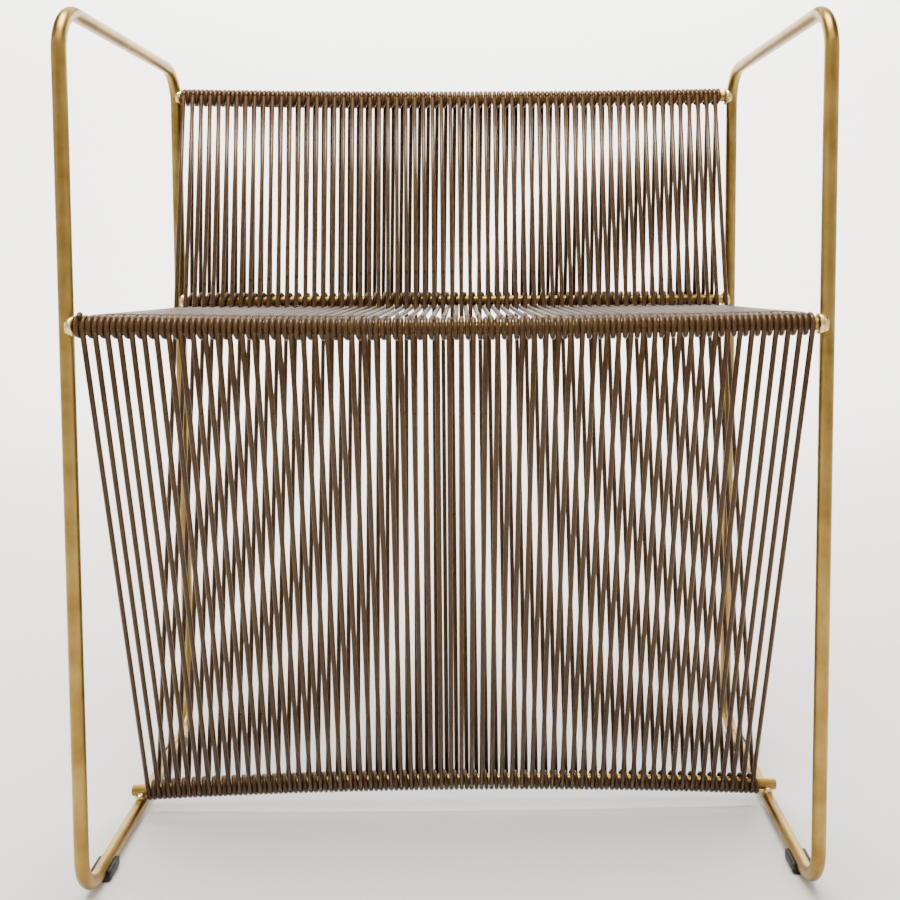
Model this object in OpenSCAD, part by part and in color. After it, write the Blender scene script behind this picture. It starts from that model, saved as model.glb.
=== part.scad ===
// Magazine rack: two closed loops of round rod joined by four cross bars, strung with one long cord.
// The cord is wound as a spiral from the left end to the right end. Each turn runs from the front bar
// down to the low bar, up to the top bar, down behind to the seat bar and forward to the front bar again,
// with one extra wrap round every bar that it passes.
// Millimetres. Origin: middle of the footprint on the floor. The front faces -Y, up is +Z.

/* [Side loops] */
// Distance between the axes of the two side loops
frame_w = 410; // [360:1:460]
// Depth of a side loop between its rod axes
frame_d = 211; // [180:1:240]
// Height of a side loop between its rod axes
frame_h = 490; // [470:1:520]
// Diameter of the loop rod
loop_rod_d = 8; // [7:0.5:10]
// Bend radius of the loop corners on the rod axis
bend_r = 24; // [15:1:40]

/* [Cross bars] */
// Diameter of the cross bars
bar_d = 7; // [5:0.5:7]
// Height of the front bar's ends above the floor
front_bar_z = 326; // [300:1:350]
// Sag of the front bar at its middle
front_bar_sag = 2; // [0.5:0.5:5]
// Height of the seat bar above the floor
seat_bar_z = 328; // [300:1:350]
// Height of the top bar's ends above the floor
top_bar_z = 478; // [440:1:485]
// Sag of the top bar at its middle
top_bar_sag = 2; // [0.5:0.5:5]
// How far the low bar lies in front of the middle of the loops
low_bar_offset = 4; // [0:1:30]
// Rise of the low bar at its middle
low_bar_rise = 5; // [0.5:0.5:8]
// How far each end of the low bar stands out past the loop rod's axis
low_bar_overhang = 6; // [5:0.5:12]

/* [Cord] */
// Diameter of the cord
cord_d = 3; // [2:0.1:3]
// Number of turns round the whole frame
turns = 61; // [20:1:61]
// Gap between the loop rods and the wraps at the left end of the front, top and seat bars
left_gap = 1.5; // [1:0.5:6]
// Gap between the right loop rod and the last wrap on the front bar
front_right_gap = 4; // [2:0.5:6]
// The same on the top bar
top_right_gap = 5; // [2:0.5:6]
// The same on the seat bar
seat_right_gap = 3.5; // [2:0.5:6]

/* [Feet] */
// Length of a foot clip along the rod
foot_l = 16; // [10:1:24]
// Wall thickness of a foot clip beside the rod
foot_wall = 2.2; // [1.5:0.1:4]
// Thickness of the sole under the rod
foot_sole = 2; // [1:0.5:4]
// Distance from the loop's corner bend to the foot clip
foot_inset = 1; // [0:1:20]

/* [Hidden] */

BRASS = [0.78, 0.65, 0.36];
WELD = [0.86, 0.77, 0.52];
BLACK_PLASTIC = [0.05, 0.05, 0.05];
CORD_BROWN = [0.40, 0.29, 0.21];

half_w = frame_w / 2;
half_d = frame_d / 2;
loop_r = loop_rod_d / 2;
bar_r = bar_d / 2;
cord_r = cord_d / 2;

// Height of the bottom rods' axis, which the soles lift off the floor
rod_z = foot_sole + loop_r;
loop_top_z = rod_z + frame_h;
low_bar_y = -low_bar_offset;
low_bar_z = rod_z + loop_r + bar_r;
low_bar_half_l = half_w + low_bar_overhang;
// Half the length of a bar that is butted between the loops
butt_gap = 0.1;
butted_half_l = half_w - loop_r - butt_gap;

// The cord's axis runs round a bar at this radius
wrap_r = bar_r + cord_r;
// The wraps on the low bar nearly touch the bottom rods at the left and stop a little short at the right
low_left_gap = 0.3;
low_right_gap = 1.9;
// A wrap stops short of the strand that arrives beside it by this angle
strand_clearance = 56;

// Sense of the cord round a bar in the YZ plane: +1 turns from +Y towards +Z
CCW = 1;
CW = -1;

// Weld lump on the end of a butted bar: its radius, how far inside the loop rod's axis its middle lies,
// the gap left beside the nearest wrap, and the gap to the bar and the rod
weld_r = 5;
weld_inset = 2.5;
weld_wrap_gap = 0.5;
weld_fit_gap = 0.05;
// Dabs under the low bar: radius, height of their middles above the rod's top, and spread beside the bar
dab_r = 2.6;
dab_lift = 0.8;
dab_spread = 0.3;

// Foot clips: how far the cheeks reach past the rod's middle, and the radius of their lower corners
cheek_rise = 0.8;
sole_corner_r = 2.5;

// The cord's cut start lies in the groove over the first two wraps, high on the front of the front bar
groove_rise = 2.6;
tail_start = 112;
tail_sweep = 24;

// Facets only set how finely the curves are drawn
rod_fn = 48;
cord_fn = 24;
wrap_fn = 48;
bow_steps = 24;

// ---------------------------------------------------------------- bar axes as [y, z] at a given x
function bow(x, depth) = depth * (1 - pow(x / half_w, 2));
function front_bar_at(x) = [-half_d, front_bar_z - bow(x, front_bar_sag)];
function seat_bar_at(x) = [half_d, seat_bar_z];
function top_bar_at(x) = [half_d, top_bar_z - bow(x, top_bar_sag)];
function low_bar_at(x) = [low_bar_y, low_bar_z + bow(x, low_bar_rise)];

// ---------------------------------------------------------------- the cord's route
// Bars in the order in which the cord reaches them
FRONT = 0;
LOW = 1;
TOP = 2;
SEAT = 3;
// Gaps between the wraps and the inner faces of the loop rods on each bar. The windings were pushed to the
// left, so their last wraps leave a bare end at the right. The seat bar's gaps set the strands that run
// forward from it midway between those of the back, which pass through them.
LEFT_GAP = [left_gap, low_left_gap, left_gap, left_gap];
RIGHT_GAP = [front_right_gap, low_right_gap, top_right_gap, seat_right_gap];
function first_x(bar) = LEFT_GAP[bar] + cord_r + loop_r - half_w;
function last_x(bar) = half_w - loop_r - cord_r - RIGHT_GAP[bar];

// Places along X where the cord meets and leaves a bar. The extra wrap moves it on by half a pitch, and
// one turn round the frame moves it on by one pitch.
function pitch(bar) = (last_x(bar) - first_x(bar)) / (turns - 0.5);
function x_in(turn, bar) = first_x(bar) + turn * pitch(bar);
function x_out(turn, bar) = x_in(turn, bar) + pitch(bar) / 2;

function bar_at(bar, x) =
    bar == FRONT ? front_bar_at(x) :
    bar == LOW ? low_bar_at(x) :
    bar == TOP ? top_bar_at(x) :
    seat_bar_at(x);
function bar_sense(bar) = bar == FRONT || bar == LOW ? CCW : CW;

// Direction of the common normal of a straight strand that leaves circle p and reaches circle q.
// The strand touches each circle on its right where the sense is CCW and on its left where it is CW.
function span_normal(p, q, sense_p, sense_q) =
    atan2(q[1] - p[1], q[0] - p[0]) + acos((sense_q - sense_p) * wrap_r / norm(q - p));
function on_circle(centre, angle) = centre + wrap_r * [cos(angle), sin(angle)];

// Angle round a bar at which the strand on a given side of it touches
function touch_angle(normal, sense) = sense == CW ? normal : normal + 180;

// Normal of the strand that runs from one bar to the next, in one turn
function next_bar(bar) = (bar + 1) % 4;
function next_turn(turn, bar) = bar == SEAT ? turn + 1 : turn;
function strand_normal(turn, bar) =
    span_normal(
        bar_at(bar, x_out(turn, bar)),
        bar_at(next_bar(bar), x_in(next_turn(turn, bar), next_bar(bar))),
        bar_sense(bar),
        bar_sense(next_bar(bar)));

// Angles at which the cord leaves a bar and at which it arrives on the next one. The cord ends on the seat
// bar in the last turn, at the angle where it left in the turn before.
function last_turn(bar) = bar == SEAT ? turns - 2 : turns - 1;
function leave_angle(turn, bar) = touch_angle(strand_normal(min(turn, last_turn(bar)), bar), bar_sense(bar));
function arrive_angle(turn, bar) = touch_angle(strand_normal(turn, bar), bar_sense(next_bar(bar)));
function previous_bar(bar) = (bar + 3) % 4;
function previous_turn(turn, bar) = bar == FRONT ? max(turn - 1, 0) : turn;
function meet_angle(turn, bar) = arrive_angle(previous_turn(turn, bar), previous_bar(bar));

// Turn left between meeting and leaving a bar, without the extra wrap, from 0 to 360 degrees
function positive_angle(a) = a - 360 * floor(a / 360);
function bend_angle(turn, bar) =
    positive_angle(bar_sense(bar) * (leave_angle(turn, bar) - meet_angle(turn, bar)));

function point_3d(x, yz) = [x, yz[0], yz[1]];

// ---------------------------------------------------------------- general shapes
// Straight round rod from one point to another
module rod_between(from, to, r, fn) {
    run = to - from;
    length = norm(run);
    translate(from)
        rotate([0, acos(run[2] / length), atan2(run[1], run[0])])
            cylinder(h = length, r = r, $fn = fn);
}

// Straight rod along X
module rod_along_x(half_length, r) {
    rod_between([-half_length, 0, 0], [half_length, 0, 0], r, rod_fn);
}

// Rod along X bent to a wide arc through its two ends. Its middle lies lower by the given depth.
module bowed_rod(half_length, r, depth) {
    arc_r = (pow(half_w, 2) + pow(depth, 2)) / (2 * depth);
    half_angle = asin(half_length / arc_r);
    translate([0, 0, arc_r - depth])
        rotate([90, 0, 0])
            rotate([0, 0, -90 - half_angle])
                rotate_extrude(angle = 2 * half_angle, $fn = bow_steps * 180 / half_angle)
                    translate([arc_r, 0])
                        circle(r = r, $fn = rod_fn);
}

// Part of a ring of cord round a bar, in a plane across X, from a start angle through a sweep
module wrap_arc(x, centre, start, sweep) {
    translate(point_3d(x, centre))
        rotate([90, 0, 90])
            rotate([0, 0, sweep < 0 ? start + sweep : start])
                rotate_extrude(angle = abs(sweep), $fn = wrap_fn)
                    translate([wrap_r, 0])
                        circle(r = cord_r, $fn = cord_fn);
}

// ---------------------------------------------------------------- side loops
// Quarter bend of the loop in the YZ plane. The corner is the point where its two straights would meet.
module loop_bend(y_side, z_side) {
    corner_y = y_side * (half_d - bend_r);
    corner_z = (z_side > 0 ? loop_top_z - bend_r : rod_z + bend_r);
    start = y_side > 0 ? (z_side > 0 ? 0 : 270) : (z_side > 0 ? 90 : 180);
    translate([0, corner_y, corner_z])
        rotate([90, 0, 90])
            rotate([0, 0, start])
                rotate_extrude(angle = 90, $fn = 96)
                    translate([bend_r, 0])
                        circle(r = loop_r, $fn = rod_fn);
}

module side_loop(x) {
    translate([x, 0, 0])
        union() {
            for (y = [-half_d, half_d])
                rod_between([0, y, rod_z + bend_r], [0, y, loop_top_z - bend_r], loop_r, rod_fn);
            for (z = [rod_z, loop_top_z])
                rod_between([0, bend_r - half_d, z], [0, half_d - bend_r, z], loop_r, rod_fn);
            for (y_side = [-1, 1])
                for (z_side = [-1, 1])
                    loop_bend(y_side, z_side);
        }
}

module left_side_loop() {
    color(BRASS) side_loop(-half_w);
}

module right_side_loop() {
    color(BRASS) side_loop(half_w);
}

// ---------------------------------------------------------------- cross bars
// The three butted bars are cut square, just clear of the loops, and their welds fill the gap
module front_bar() {
    color(BRASS) translate(point_3d(0, front_bar_at(half_w))) bowed_rod(butted_half_l, bar_r, front_bar_sag);
}

module seat_bar() {
    color(BRASS) translate(point_3d(0, seat_bar_at(half_w))) rod_along_x(butted_half_l, bar_r);
}

module top_bar() {
    color(BRASS) translate(point_3d(0, top_bar_at(half_w))) bowed_rod(butted_half_l, bar_r, top_bar_sag);
}

// The low bar lies across the bottom rods and stands out past them
module low_bar() {
    color(BRASS)
        translate(point_3d(0, low_bar_at(half_w)))
            mirror([0, 0, 1])
                bowed_rod(low_bar_half_l, bar_r, low_bar_rise);
}

// ---------------------------------------------------------------- welds
// Lump of filler round the end of a butted bar, cut flat beside the nearest wrap of cord
module bar_weld(side, centre, wrap_gap) {
    x = side * (half_w - weld_inset);
    face_x = half_w - loop_r - wrap_gap + weld_wrap_gap;
    color(WELD)
        difference() {
            translate(point_3d(x, centre)) sphere(r = weld_r, $fn = 32);
            side_loop(side * half_w);
            translate(point_3d(0, centre)) rod_along_x(butted_half_l, bar_r + butt_gap);
            translate(point_3d(0, centre)) cube([2 * face_x, 4 * weld_r, 4 * weld_r], center = true);
        }
}

module front_bar_weld_left() {
    bar_weld(-1, front_bar_at(half_w), LEFT_GAP[FRONT]);
}

module front_bar_weld_right() {
    bar_weld(1, front_bar_at(half_w), RIGHT_GAP[FRONT]);
}

module seat_bar_weld_left() {
    bar_weld(-1, seat_bar_at(half_w), LEFT_GAP[SEAT]);
}

module seat_bar_weld_right() {
    bar_weld(1, seat_bar_at(half_w), RIGHT_GAP[SEAT]);
}

module top_bar_weld_left() {
    bar_weld(-1, top_bar_at(half_w), LEFT_GAP[TOP]);
}

module top_bar_weld_right() {
    bar_weld(1, top_bar_at(half_w), RIGHT_GAP[TOP]);
}

// Two dabs of filler, in front of and behind the low bar, where it lies across a bottom rod
module crossing_weld(side) {
    dab_x = side * half_w;
    dab_z = rod_z + loop_r + dab_lift;
    color(WELD)
        for (y_side = [-1, 1])
            difference() {
                translate([dab_x, low_bar_y + y_side * (bar_r + dab_spread), dab_z]) sphere(r = dab_r, $fn = 32);
                rod_between([dab_x, -half_d, rod_z], [dab_x, half_d, rod_z], loop_r, rod_fn);
                translate([0, low_bar_y, low_bar_z]) rod_along_x(2 * half_w, bar_r + weld_fit_gap);
            }
}

module low_bar_weld_left() {
    crossing_weld(-1);
}

module low_bar_weld_right() {
    crossing_weld(1);
}

// ---------------------------------------------------------------- foot clips
// Clip pressed on a bottom rod from below: flat sole, two cheeks a little past the rod's middle
module foot(x_side, y_side) {
    outer_r = loop_r + foot_wall;
    cheek_top = rod_z + cheek_rise;
    near_y = half_d - bend_r - foot_inset;
    color(BLACK_PLASTIC)
        translate([x_side * half_w, y_side * near_y - (y_side > 0 ? foot_l : 0), 0])
            rotate([90, 0, 0])
                mirror([0, 0, 1])
                    linear_extrude(height = foot_l)
                        difference() {
                            union() {
                                translate([-outer_r, sole_corner_r])
                                    square([2 * outer_r, cheek_top - sole_corner_r]);
                                translate([sole_corner_r - outer_r, 0])
                                    square([2 * (outer_r - sole_corner_r), sole_corner_r]);
                                for (side = [-1, 1])
                                    translate([side * (outer_r - sole_corner_r), sole_corner_r])
                                        circle(r = sole_corner_r, $fn = 32);
                            }
                            translate([0, rod_z]) circle(r = loop_r, $fn = rod_fn);
                        }
}

module front_left_foot() {
    foot(-1, -1);
}

module front_right_foot() {
    foot(1, -1);
}

module rear_left_foot() {
    foot(-1, 1);
}

module rear_right_foot() {
    foot(1, 1);
}

// ---------------------------------------------------------------- cord
// The straight strands that leave one bar for the next, one for each turn. None leaves the seat bar in the
// last turn, because the cord ends there.
module strands(bar) {
    color(CORD_BROWN)
        for (turn = [0 : last_turn(bar)]) {
            to_bar = next_bar(bar);
            from_x = x_out(turn, bar);
            to_x = x_in(next_turn(turn, bar), to_bar);
            rod_between(
                point_3d(from_x, on_circle(bar_at(bar, from_x), leave_angle(turn, bar))),
                point_3d(to_x, on_circle(bar_at(to_bar, to_x), arrive_angle(turn, bar))),
                cord_r, cord_fn);
        }
}

module front_strands() {
    strands(FRONT);
}

module back_strands() {
    strands(LOW);
}

module rear_strands() {
    strands(TOP);
}

module seat_strands() {
    strands(SEAT);
}

// Two wraps for each turn: the first where the cord meets the bar, the second up to where it leaves
module wraps(bar) {
    sense = bar_sense(bar);
    color(CORD_BROWN)
        for (turn = [0 : turns - 1]) {
            meet = meet_angle(turn, bar);
            first_sweep = 360 - strand_clearance;
            last_sweep = bend_angle(turn, bar) + strand_clearance;
            wrap_arc(x_in(turn, bar), bar_at(bar, x_in(turn, bar)), meet, sense * first_sweep);
            wrap_arc(x_out(turn, bar), bar_at(bar, x_out(turn, bar)),
                meet - sense * strand_clearance, sense * last_sweep);
        }
}

module front_bar_wraps() {
    wraps(FRONT);
}

module low_bar_wraps() {
    wraps(LOW);
}

module top_bar_wraps() {
    wraps(TOP);
}

module seat_bar_wraps() {
    wraps(SEAT);
}

// The cut end that the cord starts from
module cord_tail() {
    groove_r = wrap_r + groove_rise;
    tail_x = (x_in(0, FRONT) + x_out(0, FRONT)) / 2;
    color(CORD_BROWN)
        translate(point_3d(tail_x, front_bar_at(tail_x)))
            rotate([90, 0, 90])
                rotate([0, 0, tail_start])
                    rotate_extrude(angle = tail_sweep, $fn = wrap_fn)
                        translate([groove_r, 0])
                            circle(r = cord_r, $fn = cord_fn);
}

left_side_loop();
right_side_loop();
front_bar();
seat_bar();
top_bar();
low_bar();
front_bar_weld_left();
front_bar_weld_right();
seat_bar_weld_left();
seat_bar_weld_right();
top_bar_weld_left();
top_bar_weld_right();
low_bar_weld_left();
low_bar_weld_right();
front_left_foot();
front_right_foot();
rear_left_foot();
rear_right_foot();
front_strands();
back_strands();
rear_strands();
seat_strands();
front_bar_wraps();
low_bar_wraps();
top_bar_wraps();
seat_bar_wraps();
cord_tail();
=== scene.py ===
"""Magazine rack: two loops of satin brass rod joined by four bars and strung with one long brown cord.

Every piece is a swept or lofted surface worked out with numpy in the frame's own metres. Sizes come from the
boxes of the frame's nodes, so the rod, the bars and each stretch of cord lie where the frame has them.
"""
import logging
import math
from dataclasses import dataclass, field
from enum import Enum, IntEnum

import bpy
import numpy as np
from mathutils import Euler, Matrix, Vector


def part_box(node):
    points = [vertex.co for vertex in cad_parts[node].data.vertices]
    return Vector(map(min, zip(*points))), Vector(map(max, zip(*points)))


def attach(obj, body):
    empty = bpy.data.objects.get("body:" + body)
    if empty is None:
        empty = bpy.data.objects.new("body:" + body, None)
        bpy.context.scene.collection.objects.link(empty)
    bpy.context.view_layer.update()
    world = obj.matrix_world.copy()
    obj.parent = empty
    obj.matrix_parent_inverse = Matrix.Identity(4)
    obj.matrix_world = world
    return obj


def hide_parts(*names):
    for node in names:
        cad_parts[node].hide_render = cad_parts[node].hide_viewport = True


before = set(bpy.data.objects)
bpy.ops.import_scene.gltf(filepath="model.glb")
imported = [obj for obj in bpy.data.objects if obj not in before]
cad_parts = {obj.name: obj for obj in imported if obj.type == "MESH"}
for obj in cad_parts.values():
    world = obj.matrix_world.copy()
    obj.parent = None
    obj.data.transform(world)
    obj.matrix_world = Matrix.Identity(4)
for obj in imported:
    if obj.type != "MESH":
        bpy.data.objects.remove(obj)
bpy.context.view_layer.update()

MM = 0.001
TAU = 2.0 * math.pi
ROOT_BODY = "root"

Array = np.ndarray
Triple = tuple[float, float, float]
Node = bpy.types.Node
Material = bpy.types.Material
log = logging.getLogger("magazine_rack")


# ---- small maths
def unit(vectors: Array) -> Array:
    """Vectors scaled to length 1 along their last axis.

    Args:
        vectors: any array whose last axis is x, y, z.

    Returns:
        An array of the same shape.
    """
    return vectors / np.linalg.norm(vectors, axis=-1, keepdims=True)


def smoothstep(t: Array) -> Array:
    """The cubic 3t^2 - 2t^3 between 0 and 1, flat at both ends, with t held to that range."""
    t = np.clip(t, 0.0, 1.0)
    return t * t * (3.0 - 2.0 * t)


def ripple(seed: int, *coords: Array, waves: int = 5) -> Array:
    """A smooth, repeatable unevenness between about -1 and 1.

    It is a mean of sine waves whose rates are whole numbers, so it closes on itself over 0 to 2 pi.

    Args:
        seed: picks the rates and phases.
        coords: angles in radians, as arrays that broadcast together.
        waves: number of sine waves.

    Returns:
        The unevenness at each point.
    """
    rng = np.random.default_rng(seed)
    total = np.zeros(np.broadcast_shapes(*[c.shape for c in coords]))
    for _ in range(waves):
        phase = rng.uniform(0.0, TAU)
        for angle in coords:
            phase = phase + rng.integers(1, 5) * angle
        total += np.sin(phase)
    return total / math.sqrt(waves)


# ---- mesh making
@dataclass
class Surface:
    """Part of a mesh before it goes into Blender.

    Attributes:
        points: (n, 3) corners in metres.
        quads: (m, 4) corner numbers.
        fans: (k, 3) corner numbers of the flat triangles that close the ends.
        quad_uv: (m, 4, 2) texture places: x once round the section, y in metres along the length.
        fan_uv: (k, 3, 2) texture places of the end triangles.
        end_material: material number of the end triangles.
    """

    points: Array
    quads: Array
    fans: Array
    quad_uv: Array
    fan_uv: Array
    end_material: int = 0


def band_quads(here: Array, ahead: Array) -> Array:
    """Faces between rings of corner numbers and the rings ahead of them, as (m, 4)."""
    return np.stack([here, np.roll(here, -1, -1), np.roll(ahead, -1, -1), ahead], -1).reshape(-1, 4)


def corner_uv(u0: Array, u1: Array, v0: Array, v1: Array) -> Array:
    """Texture places at the corners of faces that reach from (u0, v0) to (u1, v1), as (m, 4, 2)."""
    corners = [np.stack([u, v], -1) for u, v in ((u0, v0), (u1, v0), (u1, v1), (u0, v1))]
    return np.stack(corners, -2).reshape(-1, 4, 2)


def swept(
    path: Array,
    outward: Array,
    radius: Array | float,
    sides: int,
    along: Array,
    ring_loop: bool = False,
    end_material: int = 0,
) -> Surface:
    """Round sections carried along many paths at once.

    The section at each path point is p + r (cos(a) n + sin(a) b), with n the outward normal made square to
    the path, b = t x n, and a from 0 to 2 pi in equal steps.

    Args:
        path: (tubes, rings, 3) middle lines.
        outward: the normal where a is 0, which broadcasts to the path's shape.
        radius: section radius, a number or (tubes, rings).
        sides: corners in a section.
        along: (tubes, rings) length along each tube, for the texture.
        ring_loop: True where the last ring joins the first, and no ends are needed.
        end_material: material number for the end faces.

    Returns:
        The closed surface of all the tubes.
    """
    tubes, rings, _ = path.shape
    if ring_loop:
        tangent = unit(np.roll(path, -1, axis=1) - np.roll(path, 1, axis=1))
    else:
        tangent = unit(np.gradient(path, axis=1))
    normal = np.broadcast_to(outward, path.shape)
    normal = unit(normal - tangent * np.sum(normal * tangent, axis=-1, keepdims=True))
    binormal = np.cross(tangent, normal)
    angle = np.arange(sides) * TAU / sides
    size = np.broadcast_to(np.asarray(radius, float), (tubes, rings))[..., None, None]
    around = np.cos(angle)[:, None] * normal[:, :, None, :] + np.sin(angle)[:, None] * binormal[:, :, None, :]
    points = (path[:, :, None, :] + size * around).reshape(-1, 3)

    number = np.arange(tubes * rings * sides).reshape(tubes, rings, sides)
    ahead = np.roll(number, -1, axis=1) if ring_loop else number[:, 1:]
    here = number if ring_loop else number[:, :-1]
    quads = band_quads(here, ahead)

    step = 1.0 / sides
    turn = np.arange(sides) * step
    v_here = along if ring_loop else along[:, :-1]
    gap = np.diff(along, axis=1, append=2 * along[:, -1:] - along[:, -2:-1])
    v_ahead = along + gap if ring_loop else along[:, 1:]
    shape = v_here.shape + (sides,)
    u0 = np.broadcast_to(turn, shape)
    v0 = np.broadcast_to(v_here[..., None], shape)
    v1 = np.broadcast_to(v_ahead[..., None], shape)
    quad_uv = corner_uv(u0, u0 + step, v0, v1)
    if ring_loop:
        return Surface(points, quads, np.empty((0, 3), int), quad_uv, np.empty((0, 3, 2)))

    middles = np.concatenate([path[:, 0], path[:, -1]])
    middle_number = len(points) + np.arange(2 * tubes).reshape(2, tubes, 1)
    first, last = number[:, 0], number[:, -1]
    start = np.stack([np.broadcast_to(middle_number[0], first.shape), np.roll(first, -1, axis=1), first], -1)
    stop = np.stack([np.broadcast_to(middle_number[1], last.shape), last, np.roll(last, -1, axis=1)], -1)
    fans = np.concatenate([start.reshape(-1, 3), stop.reshape(-1, 3)])
    fan_uv = np.zeros((len(fans), 3, 2))
    fan_uv[:, 1:, 0] = 0.5
    return Surface(np.concatenate([points, middles]), quads, fans, quad_uv, fan_uv, end_material)


def lofted_ring(grid: Array) -> Surface:
    """A surface over a grid that closes on itself both ways, like the skin of a ring.

    Args:
        grid: (rows, columns, 3) corners. Row and column order give outward faces by the right-hand rule.

    Returns:
        The closed surface, with its texture in parts of a turn each way.
    """
    rows, columns, _ = grid.shape
    number = np.arange(rows * columns).reshape(rows, columns)
    down = np.roll(number, -1, axis=0)
    quads = band_quads(number, down)
    v, u = np.meshgrid(np.arange(rows) / rows, np.arange(columns) / columns, indexing="ij")
    du, dv = 1.0 / columns, 1.0 / rows
    quad_uv = corner_uv(u, u + du, v, v + dv)
    return Surface(grid.reshape(-1, 3), quads, np.empty((0, 3), int), quad_uv, np.empty((0, 3, 2)))


def joined(parts: list[Surface]) -> Surface:
    """Several surfaces as one, with their corners renumbered."""
    offsets = np.cumsum([0] + [len(p.points) for p in parts[:-1]])
    return Surface(
        np.concatenate([p.points for p in parts]),
        np.concatenate([p.quads + o for p, o in zip(parts, offsets)]),
        np.concatenate([p.fans + o for p, o in zip(parts, offsets)]),
        np.concatenate([p.quad_uv for p in parts]),
        np.concatenate([p.fan_uv for p in parts]),
        max(p.end_material for p in parts),
    )


class Slot(Enum):
    """The record's material slots."""

    BRASS = "satin_brass"
    WELD = "weld_brass"
    PLASTIC = "foot_plastic"
    CORD = "brown_cord"


def add_piece(
    name: str, surface: Surface, materials: list[Material], replaces: tuple[str, ...]
) -> None:
    """Puts a surface into the scene at the origin, as a piece that stands for its CAD nodes.

    Args:
        name: the piece's name.
        surface: its closed surface, in metres.
        materials: its finishes, in the order of the surface's material numbers.
        replaces: names of the CAD nodes that it stands for.
    """
    mesh = bpy.data.meshes.new(name)
    quads, fans = surface.quads, surface.fans
    corners = np.concatenate([quads.ravel(), fans.ravel()]).astype(np.int32)
    quad_starts, fan_starts = np.arange(len(quads)) * 4, len(quads) * 4 + np.arange(len(fans)) * 3
    starts = np.concatenate([quad_starts, fan_starts]).astype(np.int32)
    mesh.vertices.add(len(surface.points))
    mesh.vertices.foreach_set("co", surface.points.astype(np.float32).ravel())
    mesh.loops.add(len(corners))
    mesh.loops.foreach_set("vertex_index", corners)
    mesh.polygons.add(len(starts))
    mesh.polygons.foreach_set("loop_start", starts)
    smooth = np.concatenate([np.ones(len(quads), bool), np.zeros(len(fans), bool)])
    mesh.polygons.foreach_set("use_smooth", smooth)
    which = np.repeat(np.array([0, surface.end_material], np.int32), [len(quads), len(fans)])
    mesh.polygons.foreach_set("material_index", which)
    layer = mesh.uv_layers.new(name="length")
    uv = np.concatenate([surface.quad_uv.reshape(-1, 2), surface.fan_uv.reshape(-1, 2)])
    layer.data.foreach_set("uv", uv.astype(np.float32).ravel())
    mesh.update(calc_edges=True)
    mesh.validate()
    for material in materials:
        mesh.materials.append(material)
    piece = bpy.data.objects.new(name, mesh)
    bpy.context.scene.collection.objects.link(piece)
    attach(piece, ROOT_BODY)
    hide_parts(*replaces)
    log.info("%s: %d corners, %d faces", name, len(surface.points), len(starts))


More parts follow.
